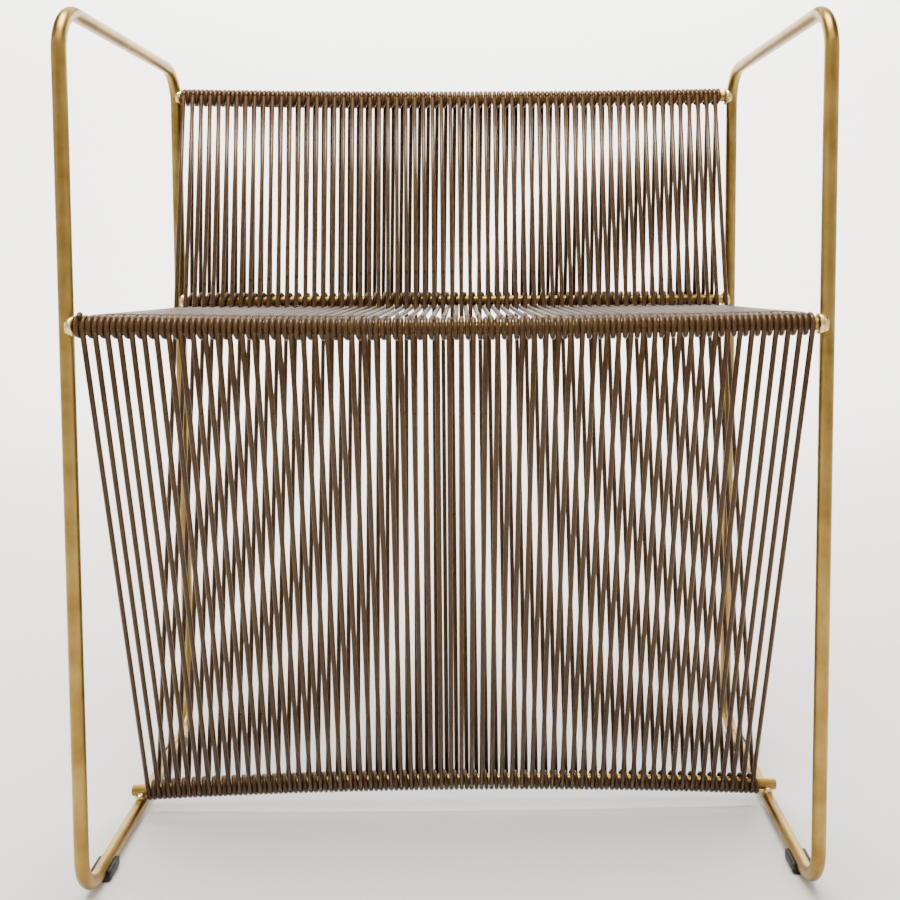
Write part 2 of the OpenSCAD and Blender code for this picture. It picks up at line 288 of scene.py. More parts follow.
# ---- finishes
class Nodes:
    """A short way to write a material's node tree."""

    def __init__(self, name: str) -> None:
        """Makes an empty material.

        Args:
            """
        self.material = bpy.data.materials.new(name)
        self.material.use_nodes = True
        self.tree = self.material.node_tree
        self.tree.nodes.clear()
        self.output = self.tree.nodes.new("ShaderNodeOutputMaterial")
        self.shader = self.tree.nodes.new("ShaderNodeBsdfPrincipled")
        self.wire(self.shader, "BSDF", self.output, "Surface")

    def wire(self, source: Node, out: str | int, target: Node, into: str | int) -> None:
        """Links one socket to another."""
        self.tree.links.new(source.outputs[out], target.inputs[into])

    def fixed(self, **values: float | tuple) -> None:
        """Sets the shader's own sockets, with underscores in their names for spaces."""
        for key, value in values.items():
            self.shader.inputs[key.replace("_", " ")].default_value = value

    def place(self, kind: str, scale: Triple) -> Node:
        """Texture places, scaled.

        Args:
            kind: "Object" for places in metres, or "UV" for round and along the piece.
            scale: factors for the three coordinates.

        Returns:
            The mapping node.
        """
        coordinates = self.tree.nodes.new("ShaderNodeTexCoord")
        mapping = self.tree.nodes.new("ShaderNodeMapping")
        mapping.inputs["Scale"].default_value = scale
        self.wire(coordinates, kind, mapping, "Vector")
        return mapping

    def noise(self, places: Node | None, scale: float, detail: float = 3.0, rough: float = 0.55) -> Node:
        """A noise texture on some places, or on the object's own places in metres if none are given."""
        places = places or self.place("Object", (1.0, 1.0, 1.0))
        texture = self.tree.nodes.new("ShaderNodeTexNoise")
        texture.inputs["Scale"].default_value = scale
        texture.inputs["Detail"].default_value = detail
        texture.inputs["Roughness"].default_value = rough
        self.wire(places, 0, texture, "Vector")
        return texture

    def ramp(self, source: Node, out: str | int, stops: list[tuple[float, tuple]]) -> Node:
        """A colour ramp fed by a number.

        Args:
            source: node that gives the number.
            out: its output.
            stops: (place, colour) pairs in rising order.

        Returns:
            The ramp node.
        """
        node = self.tree.nodes.new("ShaderNodeValToRGB")
        elements = node.color_ramp.elements
        while len(elements) < len(stops):
            elements.new(0.5)
        for element, (place, colour) in zip(elements, stops):
            element.position = place
            element.color = (*colour, 1.0)
        self.wire(source, out, node, 0)
        return node

    def maths(self, operation: str, first: object, second: object = None) -> Node:
        """A Math node on two inputs, each a number or a (node, output) pair."""
        node = self.tree.nodes.new("ShaderNodeMath")
        node.operation = operation
        for socket, value in zip((0, 1), (first, second)):
            if isinstance(value, tuple):
                self.wire(value[0], value[1], node, socket)
            elif value is not None:
                node.inputs[socket].default_value = value
        return node

    def span(
        self, source: tuple, low: float, high: float, from_low: float = 0.0, from_high: float = 1.0
    ) -> Node:
        """Carries a number from the range (from_low, from_high) to (low, high), held at its ends."""
        node = self.tree.nodes.new("ShaderNodeMapRange")
        limits = {"From Min": from_low, "From Max": from_high, "To Min": low, "To Max": high}
        for key, value in limits.items():
            node.inputs[key].default_value = value
        self.wire(source[0], source[1], node, "Value")
        return node

    def mix(self, factor: tuple, first: tuple | Node, second: tuple | Node) -> Node:
        """Mixes two colours, each a fixed colour or a node whose first output is one.

        Args:
            factor: (node, output) pair, 0 for the first colour and 1 for the second.
            first: colour or node.
            second: colour or node.

        Returns:
            The mix node, whose output is "Result".
        """
        node = self.tree.nodes.new("ShaderNodeMix")
        node.data_type = "RGBA"
        self.wire(factor[0], factor[1], node, 0)
        for socket, value in zip((6, 7), (first, second)):
            if isinstance(value, tuple):
                node.inputs[socket].default_value = (*value, 1.0)
            else:
                self.tree.links.new(self.colour_of(value), node.inputs[socket])
        return node

    @staticmethod
    def colour_of(node: Node) -> bpy.types.NodeSocket:
        """A node's colour output."""
        return node.outputs[2] if node.bl_idname == "ShaderNodeMix" else node.outputs[0]

    def bump(self, height: tuple, strength: float, distance: float, under: Node | None = None) -> Node:
        """A bump on the shader's normal, over another bump if one is given."""
        node = self.tree.nodes.new("ShaderNodeBump")
        node.inputs["Strength"].default_value = strength
        node.inputs["Distance"].default_value = distance
        self.wire(height[0], height[1], node, "Height")
        if under is not None:
            self.wire(under, "Normal", node, "Normal")
        self.tree.links.new(node.outputs["Normal"], self.shader.inputs["Normal"])
        return node

    def paint(self, node: Node) -> None:
        """Gives the shader its base colour."""
        self.tree.links.new(self.colour_of(node), self.shader.inputs["Base Color"])

    def roughen(self, node: Node) -> None:
        """Gives the shader its roughness."""
        self.wire(node, 0, self.shader, "Roughness")


@dataclass(frozen=True)
class SatinBrass:
    """Brushed brass on round rod: fine lines along the rod, a faint cloudy tarnish and a few small nicks.

    Attributes:
        clean: colour of clean metal.
        tarnish: colour of the cloudy patches.
        nick: colour in the nicks.
        smooth: roughness of the smoothest places.
        rough: roughness of the roughest.
        line_share: how much of the roughness comes from the brushed lines. The rest comes from the tarnish.
    """

    name: str = "satin_brass"
    clean: Triple = (0.37, 0.245, 0.070)
    tarnish: Triple = (0.23, 0.140, 0.032)
    nick: Triple = (0.30, 0.19, 0.075)
    smooth: float = 0.27
    rough: float = 0.42
    line_share: float = 0.6

    def build(self) -> Material:
        """The finished material."""
        nodes = Nodes(self.name)
        nodes.fixed(Metallic=1.0)
        cloud = nodes.noise(None, 38.0, 4.0)
        colour = nodes.ramp(cloud, 0, [(0.34, self.tarnish), (0.62, self.clean)])
        lines = nodes.noise(nodes.place("UV", (90.0, 70.0, 1.0)), 1.0, 4.0, 0.6)
        nicks = nodes.noise(None, 420.0, 2.0, 0.5)
        nick_mask = nodes.span((nicks, 0), 0.0, 1.0, 0.71, 0.78)
        nodes.paint(nodes.mix((nick_mask, 0), colour, self.nick))
        from_lines = nodes.maths("MULTIPLY", (lines, 0), self.line_share)
        from_cloud = nodes.maths("MULTIPLY", (cloud, 0), 1.0 - self.line_share)
        blend = nodes.maths("ADD", (from_lines, 0), (from_cloud, 0))
        nodes.roughen(nodes.span((blend, 0), self.smooth, self.rough, 0.3, 0.7))
        fine = nodes.bump((lines, 0), 0.16, 0.00006)
        nodes.bump((nick_mask, 0), 0.35, -0.0001, fine)
        return nodes.material


@dataclass(frozen=True)
class WeldMetal:
    """Bright brazed filler: paler than the rod, uneven, with a faint ripple of solidified drops.

    Attributes:
        bright: colour of the raised places.
        dull: colour of the hollows.
    """

    name: str = "weld_brass"
    bright: Triple = (0.86, 0.68, 0.33)
    dull: Triple = (0.62, 0.44, 0.15)

    def build(self) -> Material:
        """The finished material."""
        nodes = Nodes(self.name)
        nodes.fixed(Metallic=1.0)
        lumps = nodes.noise(None, 620.0, 3.0, 0.6)
        nodes.paint(nodes.ramp(lumps, 0, [(0.36, self.dull), (0.56, self.bright)]))
        nodes.roughen(nodes.span((lumps, 0), 0.36, 0.2, 0.3, 0.7))
        nodes.bump((lumps, 0), 0.3, 0.0002)
        return nodes.material


@dataclass(frozen=True)
class BrownCord:
    """Smooth round cord: close braid under a wax finish that leaves a satin shine, with painted shade in the
    braid's hollows.

    Attributes:
        painted_hollow_shade: darker colour mixed into the braid's hollows as painted shade.
        face: colour of the braid's faces.
        worn: paler colour where the cord has rubbed.
        tint: colour of the shine.
        shine: strength of the shine.
        carriers: diamonds of the braid round the cord.
        lay: length of one braid repeat, in metres.
    """

    name: str = "brown_cord"
    painted_hollow_shade: Triple = (0.0280, 0.0115, 0.0044)
    face: Triple = (0.0400, 0.0172, 0.0068)
    worn: Triple = (0.0700, 0.0340, 0.0150)
    tint: Triple = (1.0, 0.8, 0.52)
    shine: float = 0.42
    carriers: int = 8
    lay: float = 0.0062

    def build(self) -> Material:
        """The finished material."""
        nodes = Nodes(self.name)
        nodes.fixed(IOR=1.5, Specular_IOR_Level=self.shine, Specular_Tint=(*self.tint, 1.0))
        split = nodes.tree.nodes.new("ShaderNodeSeparateXYZ")
        nodes.wire(nodes.place("UV", (TAU * self.carriers, TAU / self.lay * 2.0, 1.0)), 0, split, 0)
        one_way = nodes.maths("SINE", (nodes.maths("ADD", (split, 0), (split, 1)), 0))
        other_way = nodes.maths("SINE", (nodes.maths("SUBTRACT", (split, 0), (split, 1)), 0))
        braid = nodes.maths("MULTIPLY", (one_way, 0), (other_way, 0))
        height = nodes.span((braid, 0), 0.0, 1.0, -1.0, 1.0)
        streak = nodes.noise(nodes.place("UV", (3.0, 240.0, 1.0)), 1.0, 3.0)
        patch = nodes.noise(None, 24.0, 3.0)
        # Painted shade: the braid's hollows are mixed towards a darker brown than its faces.
        body = nodes.mix((nodes.span((height, 0), 0.62, 1.0), 0), self.painted_hollow_shade, self.face)
        wear = nodes.maths("MULTIPLY", (nodes.span((streak, 0), 0.0, 1.0, 0.42, 0.72), 0), (patch, 0))
        nodes.paint(nodes.mix((wear, 0), body, self.worn))
        nodes.roughen(nodes.span((streak, 0), 0.27, 0.34, 0.3, 0.7))
        nodes.bump((height, 0), 0.025, 0.0001)
        return nodes.material


@dataclass(frozen=True)
class MeltedEnd:
    """The cut end of the cord, sealed by heat: nearly black, slightly glossy and pitted."""

    name: str = "melted_cord_end"
    pit: Triple = (0.008, 0.005, 0.004)
    skin: Triple = (0.035, 0.02, 0.014)

    def build(self) -> Material:
        """The finished material."""
        nodes = Nodes(self.name)
        pits = nodes.noise(None, 1500.0, 2.0)
        nodes.paint(nodes.ramp(pits, 0, [(0.35, self.pit), (0.7, self.skin)]))
        nodes.roughen(nodes.span((pits, 0), 0.3, 0.55))
        nodes.bump((pits, 0), 0.4, 0.0002)
        return nodes.material


@dataclass(frozen=True)
class FootPlastic:
    """Moulded black plastic: fine grain, a soft shine and slightly greyed rubbed places."""

    name: str = "foot_plastic"
    black: Triple = (0.010, 0.010, 0.011)
    rubbed: Triple = (0.040, 0.039, 0.038)

    def build(self) -> Material:
        """The finished material."""
        nodes = Nodes(self.name)
        nodes.fixed(Specular_IOR_Level=0.25)
        rub = nodes.noise(None, 180.0, 4.0)
        grain = nodes.noise(None, 2600.0, 2.0)
        nodes.paint(nodes.ramp(rub, 0, [(0.45, self.black), (0.75, self.rubbed)]))
        nodes.roughen(nodes.span((rub, 0), 0.4, 0.6))
        nodes.bump((grain, 0), 0.18, 0.0001)
        return nodes.material


@dataclass(frozen=True)
class PaleFloor:
    """Plain warm white paint for the floor and its upturned rim."""

    name: str = "pale_floor"
    white: Triple = (0.72, 0.71, 0.695)

    def build(self) -> Material:
        """The finished material."""
        nodes = Nodes(self.name)
        nodes.fixed(Base_Color=(*self.white, 1.0), Roughness=0.85)
        return nodes.material


# ---- frame sizes
@dataclass(frozen=True)
class BarAxis:
    """Middle line of a cross bar: it runs along X and bows in a shallow parabola between its ends.

    Attributes:
        half_length: half its length.
        y: its place in depth.
        z_end: height of its ends.
        z_middle: height of its middle.
        radius: the bar's radius.
    """

    half_length: float
    y: float
    z_end: float
    z_middle: float
    radius: float

    @classmethod
    def of_node(cls, node: str, bows_up: bool) -> "BarAxis":
        """Reads a bar's axis from its node's box.

        Args:
            node: the CAD node.
            bows_up: True where the middle is the highest part.

        Returns:
            The bar's axis.
        """
        low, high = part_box(node)
        radius = (high.y - low.y) / 2
        bottom, top = low.z + radius, high.z - radius
        z_end, z_middle = (bottom, top) if bows_up else (top, bottom)
        return cls(high.x, (low.y + high.y) / 2, z_end, z_middle, radius)

    def at(self, x: Array) -> Array:
        """Places of the axis in the YZ plane: z = middle + (end - middle) (x / half length)^2."""
        z = self.z_middle + (self.z_end - self.z_middle) * (x / self.half_length) ** 2
        return np.stack([np.full_like(x, self.y), z], axis=-1)

    def line(self, x: Array) -> Array:
        """The same places with their x, as (n, 3)."""
        return np.concatenate([x[:, None], self.at(x)], axis=-1)


@dataclass(frozen=True)
class LoopSize:
    """A side loop: a rounded rectangle of rod in a plane across X.

    Attributes:
        x: its place along X.
        half_depth: half the depth between its rod axes.
        bottom: height of the bottom rod's axis.
        top: height of the top rod's axis.
        rod_radius: the rod's radius.
        bend_radius: radius of the corner bends on the axis.
    """

    x: float
    half_depth: float
    bottom: float
    top: float
    rod_radius: float
    bend_radius: float = 24 * MM

    @classmethod
    def of_node(cls, node: str) -> "LoopSize":
        """Reads a loop's sizes from its node's box."""
        low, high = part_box(node)
        radius = (high.x - low.x) / 2
        half_depth = (high.y - low.y) / 2 - radius
        return cls((low.x + high.x) / 2, half_depth, low.z + radius, high.z - radius, radius)


# ---- metal frame
@dataclass
class SideLoop:
    """One side loop, swept round its rounded rectangle.

    Attributes:
        size: the loop's sizes.
        sides: corners in a section.
        bend_steps: rings in a corner bend.
        straight_steps: rings along a straight.
        flattening: how much the rod's radius shrinks across a bend.
    """

    size: LoopSize
    sides: int = 40
    bend_steps: int = 18
    straight_steps: int = 14
    flattening: float = 0.012

    def middle_line(self) -> tuple[Array, Array]:
        """The loop's axis, starting at the lower end of the front upright and going up.

        Each corner is a quarter circle of the bend radius, and each straight runs between two of them.

        Returns:
            (rings, 3) places, and for each ring how far it is into a bend, from 0 to 1 and back to 0.
        """
        s = self.size
        inset = s.bend_radius
        corners = [
            (-s.half_depth + inset, s.top - inset, math.pi),
            (s.half_depth - inset, s.top - inset, math.pi / 2),
            (s.half_depth - inset, s.bottom + inset, 0.0),
            (-s.half_depth + inset, s.bottom + inset, -math.pi / 2),
        ]
        bend = np.linspace(0.0, math.pi / 2, self.bend_steps)
        arcs = [
            np.stack([y + inset * np.cos(start - bend), z + inset * np.sin(start - bend)], -1)
            for y, z, start in corners
        ]
        share = np.linspace(0.0, 1.0, self.straight_steps + 2)[1:-1, None]
        places, bending = [], []
        for previous, arc in zip([arcs[-1]] + arcs[:-1], arcs):
            places += [previous[-1] + (arc[0] - previous[-1]) * share, arc]
            bending += [np.zeros(self.straight_steps), np.sin(2 * bend)]
        yz = np.concatenate(places)
        return np.concatenate([np.full((len(yz), 1), s.x), yz], axis=1), np.concatenate(bending)

    def build(self, name: str, metal: Material) -> None:
        """Makes the loop.

        Args:
            name: name of the piece and of its CAD node.
            metal: the rod's finish.
        """
        path, bending = self.middle_line()
        step = np.linalg.norm(np.roll(path, -1, axis=0) - path, axis=1)
        along = np.concatenate([[0.0], np.cumsum(step)[:-1]])
        radius = self.size.rod_radius * (1.0 - self.flattening * bending)
        outward = np.array([1.0, 0.0, 0.0])
        surface = swept(path[None], outward, radius[None], self.sides, along[None], ring_loop=True)
        add_piece(name, surface, [metal], (name,))


@dataclass
class CrossBar:
    """One cross bar, swept along its bowed axis, with a small chamfer at each sawn end.

    Attributes:
        axis: the bar's axis.
        sides: corners in a section.
        steps: rings along the bar.
        chamfer: size of the chamfer.
    """

    axis: BarAxis
    sides: int = 36
    steps: int = 64
    chamfer: float = 0.55 * MM

    def build(self, name: str, metal: Material) -> None:
        """Makes the bar.

        Args:
            name: name of the piece and of its CAD node.
            metal: the bar's finish.
        """
        half, c = self.axis.half_length, self.chamfer
        body = np.linspace(-half + 2 * c, half - 2 * c, self.steps)
        from_end = np.array([0.0, 0.3, 1.0, 1.15]) * c
        x = np.concatenate([from_end - half, body, (half - from_end)[::-1]])
        cut = np.zeros_like(x)
        cut[[0, -1]] = c
        cut[[1, -2]] = 0.7 * c
        path = self.axis.line(x)
        radius = self.axis.radius - cut
        surface = swept(path[None], np.array([0.0, 0.0, 1.0]), radius[None], self.sides, (x + half)[None])
        add_piece(name, surface, [metal], (name,))


@dataclass
class ButtWeld:
    """Lump of filler round the end of a butted bar.

    It is a ring: at each angle round the bar the skin leaves the bar, swells out over the joint and lands on
    the upright, then returns inside the metal. A ripple makes every lump uneven.

    Attributes:
        bar: axis of the bar.
        loop: the loop that it joins.
        seed: picks the lump's unevenness.
        reach: how far the lump spreads over the upright from the bar's axis.
        uneven: how much the reach changes round the bar.
        swell: height of the swelling, and how much that changes.
        around: columns round the bar.
        across: rows over the swelling.
    """

    bar: BarAxis
    loop: LoopSize
    seed: int
    reach: float = 5.5 * MM
    uneven: float = 0.045
    swell: tuple[float, float] = (0.7, 0.12)
    around: int = 40
    across: int = 18

    def build(self, name: str, metal: Material) -> None:
        """Makes the lump.

        Args:
            name: name of the piece and of its CAD node.
            metal: the filler's finish.
        """
        side = 1.0 if self.loop.x > 0 else -1.0
        centre_y, centre_z = self.bar.y, self.bar.z_end
        rod, bar_r = self.loop.rod_radius, self.bar.radius
        low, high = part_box(name)
        start = min(abs(low.x), abs(high.x))
        angle = np.arange(self.around) * TAU / self.around
        share = np.linspace(0.0, 1.0, self.across)
        a, t = np.meshgrid(angle, share)
        reach = self.reach * (1.0 + self.uneven * ripple(self.seed, a))
        root, core = bar_r * 0.9, bar_r * 0.55
        out = root + (reach - root) * np.sin(t * math.pi / 2) ** 0.9
        across_y = np.clip(out * np.cos(a) / rod, -0.985, 0.985)
        landing = abs(self.loop.x) - rod * np.sqrt(1.0 - across_y**2)
        height, change = self.swell
        swell = np.sin(t * math.pi) * (height + change * ripple(self.seed + 1, a, t * math.pi)) * MM
        x = start + (landing - 0.1 * MM - start) * t**1.3 - swell * 0.35
        x = np.maximum(x, start - 0.1 * MM)
        radial = out + swell
        outer = np.stack([side * x, centre_y + radial * np.cos(a), centre_z + radial * np.sin(a)], axis=-1)
        hidden = np.array([0.6, 0.25])[:, None]
        inner_r = core + (radial[-1] * 0.75 - core) * hidden
        inner_x = np.maximum(start, (x[-1] + 0.5 * MM) * hidden + start * (1 - hidden))
        inner = np.stack(
            [side * inner_x, centre_y + inner_r * np.cos(angle), centre_z + inner_r * np.sin(angle)], axis=-1
        )
        grid = np.concatenate([outer, inner])
        surface = lofted_ring(grid if side > 0 else grid[:, ::-1])
        add_piece(name, surface, [metal], (name,))


@dataclass
class CrossingWeld:
    """Two dabs of filler where the low bar lies across a bottom rod, one on each side of the bar.

    A dab is an uneven ball that has run along the crease:
    p = c + s (cos(e) cos(a), cos(e) sin(a), sin(e)) r(a, e).

    Attributes:
        bar: axis of the low bar.
        loop: the loop whose bottom rod it crosses.
        seed: picks the unevenness.
        size: half sizes of a dab.
        rows: rings from pole to pole.
        sides: corners in a ring.
    """

    bar: BarAxis
    loop: LoopSize
    seed: int
    size: Triple = (3.1 * MM, 2.3 * MM, 2.2 * MM)
    rows: int = 16
    sides: int = 24

    def dab(self, centre: Array, seed: int) -> Surface:
        """One dab.

        Args:
            centre: its middle.
            seed: picks its unevenness.

        Returns:
            Its closed surface, swept from pole to pole along Z.
        """
        rows, sides = self.rows, self.sides
        lift = np.linspace(-math.pi / 2, math.pi / 2, rows + 2)[1:-1]
        angle = np.arange(sides) * TAU / sides
        e, a = np.meshgrid(lift, angle, indexing="ij")
        r = 1.0 + 0.10 * ripple(seed, a, e)
        ball = np.stack([np.cos(e) * np.cos(a), np.cos(e) * np.sin(a), np.sin(e)], -1) * r[..., None]
        points = centre + ball * np.array(self.size)
        pole = np.stack([points[0].mean(0), points[-1].mean(0)])
        number = np.arange(rows * sides).reshape(rows, sides)
        here, ahead = number[:-1], number[1:]
        quads = band_quads(here, ahead)
        tip = rows * sides
        low = np.stack([np.full(sides, tip), np.roll(number[0], -1), number[0]], -1)
        high = np.stack([np.full(sides, tip + 1), number[-1], np.roll(number[-1], -1)], -1)
        return Surface(
            np.concatenate([points.reshape(-1, 3), pole]),
            quads,
            np.concatenate([low, high]),
            np.zeros((len(quads), 4, 2)),
            np.zeros((2 * sides, 3, 2)),
        )

    def build(self, name: str, metal: Material) -> None:
        """Makes both dabs as one piece.

        Args:
            name: name of the piece and of its CAD node.
            metal: the filler's finish.
        """
        z = self.loop.bottom + self.loop.rod_radius + 0.7 * MM
        lean = 0.6 * MM * (1 if self.loop.x > 0 else -1)
        spread = self.bar.radius + 0.2 * MM
        dabs = [
            self.dab(np.array([self.loop.x + lean, self.bar.y + way * spread, z]), self.seed + way)
            for way in (-1, 1)
        ]
        add_piece(name, joined(dabs), [metal], (name,))


@dataclass
class FootClip:
    """A clip pressed on a bottom rod: a U-shaped outline carried along the rod, with rounded ends.

    Attributes:
        node: name of its CAD node.
        loop: the loop that it sits on.
        corner: radius of the outline's lower corners.
        edge: radius of the rounded ends.
        tip: size of the chamfer at the tips of the cheeks.
        bore_steps: places of the outline round the rod.
    """

    node: str
    loop: LoopSize
    corner: float = 2.5 * MM
    edge: float = 0.7 * MM
    tip: float = 0.5 * MM
    bore_steps: int = 28

    def outline(self) -> tuple[Array, Array]:
        """The clip's outline across the rod, anticlockwise seen from the front, and its outward normals.

        It goes down one cheek, round a corner, along the sole, up the other cheek and back round the rod.

        Returns:
            (n, 2) places as x and z about the rod's axis in x, and (n, 2) unit normals.
        """
        low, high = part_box(self.node)
        half = (high.x - low.x) / 2
        rod_z, rod_r, c = self.loop.bottom, self.loop.rod_radius, self.corner
        cheek = high.z
        quarter = np.linspace(0.0, math.pi / 2, 8)
        left = np.stack([-half + c - c * np.cos(quarter), c - c * np.sin(quarter)], -1)
        right = np.stack([half - c + c * np.sin(quarter), c - c * np.cos(quarter)], -1)
        rise = math.asin((cheek - rod_z) / rod_r)
        bore_angle = np.linspace(rise, -math.pi - rise, self.bore_steps)
        bore = np.stack([rod_r * np.cos(bore_angle), rod_z + rod_r * np.sin(bore_angle)], -1)
        tip = self.tip
        cheeks_left = np.array([[-half + tip, cheek], [-half, cheek - tip], [-half, (cheek + c) / 2]])
        cheeks_right = np.array([[half, (cheek + c) / 2], [half, cheek - tip], [half - tip, cheek]])
        points = np.concatenate([cheeks_left, left, right, cheeks_right, bore])
        edge = np.roll(points, -1, axis=0) - np.roll(points, 1, axis=0)
        normal = unit(np.stack([edge[:, 1], -edge[:, 0]], -1))
        return points, normal

    def build(self, plastic: Material) -> None:
        """Makes the clip. Each end's last rings draw in along the outline's normals by a quarter circle.

        Args:
            plastic: its finish.
        """
        low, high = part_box(self.node)
        outline, normal = self.outline()
        turn = np.linspace(0.0, math.pi / 2, 5)
        inset = self.edge * (1.0 - np.sin(turn))
        advance = self.edge * (1.0 - np.cos(turn))
        y = np.concatenate([low.y + advance, (high.y - advance)[::-1]])
        draw = np.concatenate([inset, inset[::-1]])
        flat = outline[None] - normal[None] * draw[:, None, None]
        count = len(outline)
        grid = np.empty((len(y), count, 3))
        grid[..., 0] = self.loop.x + flat[..., 0]
        grid[..., 1] = y[:, None]
        grid[..., 2] = flat[..., 1]
        number = np.arange(grid.shape[0] * count).reshape(grid.shape[0], count)
        here, ahead = number[:-1], number[1:]
        quads = np.stack([here, ahead, np.roll(ahead, -1, 1), np.roll(here, -1, 1)], -1).reshape(-1, 4)
        outer = count - self.bore_steps
        fans = np.array(self.end_faces(number[0], outer, False) + self.end_faces(number[-1], outer, True))
        surface = Surface(
            grid.reshape(-1, 3), quads, fans, np.zeros((len(quads), 4, 2)), np.zeros((len(fans), 3, 2))
        )
        add_piece(self.node, surface, [plastic], (self.node,))

    @staticmethod
    def end_faces(ring: Array, outer: int, flip: bool) -> list[tuple[int, int, int]]:
        """Triangles that close an end, as a band between the outer outline and the bore.

        Args:
            ring: corner numbers of the end's outline.
            outer: how many of them are on the outside. The rest run back round the bore.
            flip: True at the far end, where the faces turn the other way.

        Returns:
            The triangles.
        """
        outside, inside = ring[:outer], ring[outer:][::-1]
        i = j = 0
        faces = []
        while i < len(outside) - 1 or j < len(inside) - 1:
            step_outside = j == len(inside) - 1 or (
                i < len(outside) - 1 and (i + 1) / (len(outside) - 1) <= (j + 1) / (len(inside) - 1)
            )
            if step_outside:
                face = (outside[i], outside[i + 1], inside[j])
                i += 1
            else:
                face = (outside[i], inside[j + 1], inside[j])
                j += 1
            faces.append(face[::-1] if flip else face)
        return faces


# ---- cord
class Bar(IntEnum):
    """The bars in the order in which the cord reaches them."""

    FRONT = 0
    LOW = 1
    TOP = 2
    SEAT = 3

    @property
    def node(self) -> str:
        """Name of the bar's own CAD node."""
        return f"{self.name.lower()}_bar"


STRANDS_AFTER = ("front_strands", "back_strands", "rear_strands", "seat_strands")


